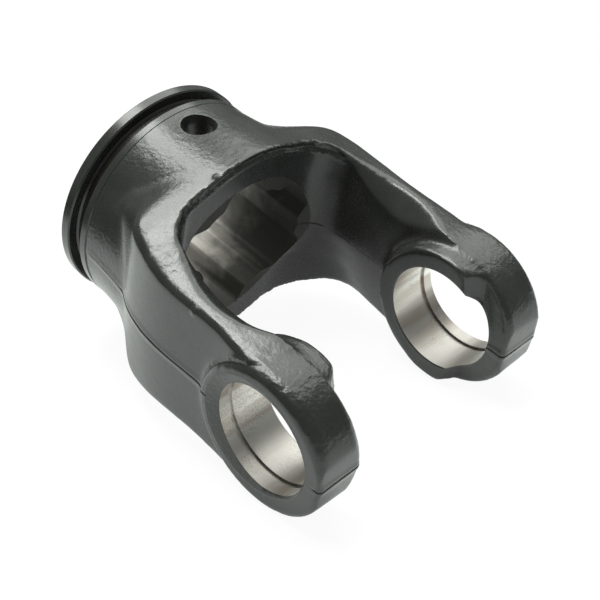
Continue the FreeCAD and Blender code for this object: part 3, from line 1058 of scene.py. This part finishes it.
# %% Broached steel of the tube bore
STEEL_BROACHED = (0.43, 0.41, 0.38)
SOOT_AND_SHADE = (0.034, 0.032, 0.027)

strokes = marks(tree, (0.05, 1.5, 1.5), 4.0)[0]
# The colour is darkened by painted shade and soot.
feed(tree, shader.inputs["Base Color"], mix_color(tree, soot_and_shade, STEEL_BROACHED, SOOT_AND_SHADE))
feed(tree, shader.inputs["Metallic"], math_node(tree, "MULTIPLY_ADD", soot_and_shade, -0.5, 0.75))
feed(tree, shader.inputs["Roughness"], math_node(tree, "MULTIPLY_ADD", strokes, 0.26, 0.55))
bump(tree, shader, strokes, 0.07 * MM, 0.6)
print("broached steel made")

# %% [markdown]
# The yoke was sprayed before the last cuts, so paint ends exactly where a cutter
# began. A mask in one material would blur that edge. Here each face takes its finish
# from its distance to the axes. The entry dimples point along the bores and stay
# painted.

# %% Give each face its finish
PAINTED, BORED, BROACHED = 0, 1, 2


def of_faces(what):
    """Centres or normals of the faces as an array."""
    flat = np.empty(len(yoke_mesh.polygons) * 3)
    yoke_mesh.polygons.foreach_get(what, flat)
    return flat.reshape(-1, 3)


yoke_mesh.materials.clear()
for material in (paint, steel, broached):
    yoke_mesh.materials.append(material)
to_die = np.array(stand_up)
centre = of_faces("center") @ to_die[:3, :3].T + to_die[:3, 3]
about_y = about_bores(centre)
about_x = np.hypot(centre[:, 1], centre[:, 2])
in_bore = (about_y < BORE_RADIUS + 0.03) & (np.abs(of_faces("normal")[:, 1]) < 0.3)
in_ring = (about_y < RING_RADIUS + 0.02) & (np.abs(np.abs(centre[:, 1]) - RING_Y) < 1.0)
in_hub = (centre[:, 0] < -35) & (centre[:, 0] > HUB_END + 0.01)
finish = np.full(len(centre), PAINTED, dtype=np.int32)
finish[in_bore | in_ring] = BORED
finish[in_hub & (about_x < GROOVE_RADIUS + 0.02)] = BROACHED
yoke_mesh.polygons.foreach_set("material_index", finish)
print("faces per finish", np.bincount(finish))

# %% [markdown]
# The photograph has a plain white ground, but a black part under white walls all
# round would look grey. The Light Path node tells who looks at a surface: the camera
# is shown white, while light and most reflections meet the true colour.

# %% White for the camera


def white_for_camera(tree, surface, share, mirrored):
    """Mixes plain white over a surface for the camera, and partly for reflections."""
    path = tree.nodes.new("ShaderNodeLightPath")
    glow = tree.nodes.new("ShaderNodeEmission")
    glow.inputs["Strength"].default_value = 1.0
    blend = tree.nodes.new("ShaderNodeMixShader")
    seen = math_node(tree, "MULTIPLY_ADD", path.outputs["Is Glossy Ray"], mirrored,
                     path.outputs["Is Camera Ray"])
    tree.links.new(math_node(tree, "MULTIPLY", seen, share), blend.inputs[0])
    tree.links.new(surface, blend.inputs[1])
    tree.links.new(glow.outputs[0], blend.inputs[2])
    tree.links.new(blend.outputs[0], tree.nodes["Material Output"].inputs["Surface"])


def flat_stage(name, corners, color, share, mirrored):
    """Level piece of the stage with a matt surface."""
    mesh = bpy.data.meshes.new(name)
    mesh.from_pydata(corners, [], [tuple(range(len(corners)))])
    matt, tree, shader = new_material(name)
    shader.inputs["Base Color"].default_value = (*color, 1.0)
    shader.inputs["Roughness"].default_value = 0.9
    white_for_camera(tree, shader.outputs[0], share, mirrored)
    mesh.materials.append(matt)
    temporary_object(name, mesh)


print("helpers for the stage ready")

# %% [markdown]
# The floor is a round white sheet on a dark bench. The paint mirrors both, and the
# edge between them shapes its reflections, which one endless white floor wouldn't.
# The sheet is almost plain white for the camera, so that the shadow stays in it.

# %% Floor
SHEET_RADIUS = 0.24
SHEET_COLOR = (0.87, 0.92, 0.91)
BENCH_SPAN = 3.0
BENCH_COLOR = (0.04, 0.04, 0.04)

sheet_rim = [(SHEET_RADIUS * math.cos(math.radians(5 * k)),
              SHEET_RADIUS * math.sin(math.radians(5 * k)), FLOOR_Z) for k in range(72)]
flat_stage("white_sheet", sheet_rim, SHEET_COLOR, share=0.94, mirrored=0.45)
bench = [(x * BENCH_SPAN, y * BENCH_SPAN, FLOOR_Z - MM)
         for x, y in ((-1, -1), (1, -1), (1, 1), (-1, 1))]
flat_stage("dark_bench", bench, BENCH_COLOR, share=1.0, mirrored=0.0)
print("sheet radius", SHEET_RADIUS)

# %% [markdown]
# The room is a dim grey that fills the shadows. Only the camera sees it as plain
# white, so the background is white without any more light on the yoke. A picture of
# a room could fill them too, but this one needs no file.

# %% Room
ROOM = (0.283, 0.300, 0.294)

world = bpy.data.worlds.new("studio")
scene.world = world
world.use_nodes = True
tree = world.node_tree
path = tree.nodes.new("ShaderNodeLightPath")
level = mix_color(tree, path.outputs["Is Camera Ray"], ROOM, (1.0, 1.0, 1.0))
tree.links.new(level, tree.nodes["Background"].inputs["Color"])
tree.nodes["Background"].inputs["Strength"].default_value = 1.0
print("room level", ROOM)

# %% [markdown]
# The lamps were read from the photograph: each paint highlight shows where a lamp
# stood. A long softbox hangs high behind the hub with a smaller one next to it, and
# a large weaker one stands to the side. Spots would give small hard highlights.

# %% Lamps
LAMP_COLOR = (0.975, 1.0, 0.955)


def softbox(name, azimuth, elevation, distance, width, height, radiance):
    """Rectangular area lamp that faces the yoke, set by its brightness."""
    data = bpy.data.lights.new(name, "AREA")
    data.shape = "RECTANGLE"
    data.size = width
    data.size_y = height
    data.energy = radiance * math.pi * width * height
    data.color = LAMP_COLOR
    around, up = math.radians(azimuth), math.radians(elevation)
    away = Vector((math.cos(up) * math.cos(around), math.cos(up) * math.sin(around),
                   math.sin(up)))
    lamp = bpy.data.objects.new(name, data)
    lamp.location = away * distance
    lamp.rotation_mode = "QUATERNION"
    lamp.rotation_quaternion = away.to_track_quat("Z", "Y")
    scene.collection.objects.link(lamp)
    print(name, "power", round(data.energy, 1), "W")


softbox("main_softbox", 177, 66, 1.0, 0.33, 1.0, 10.4)
softbox("top_softbox", -145, 79, 1.0, 0.27, 0.30, 11.0)
softbox("side_softbox", 107, 56, 1.1, 1.10, 1.0, 3.4)

# %% [markdown]
# The view settings stay plain, because a stronger contrast would hide errors of the
# colours.

# %% Finish
scene.view_settings.view_transform = "Standard"
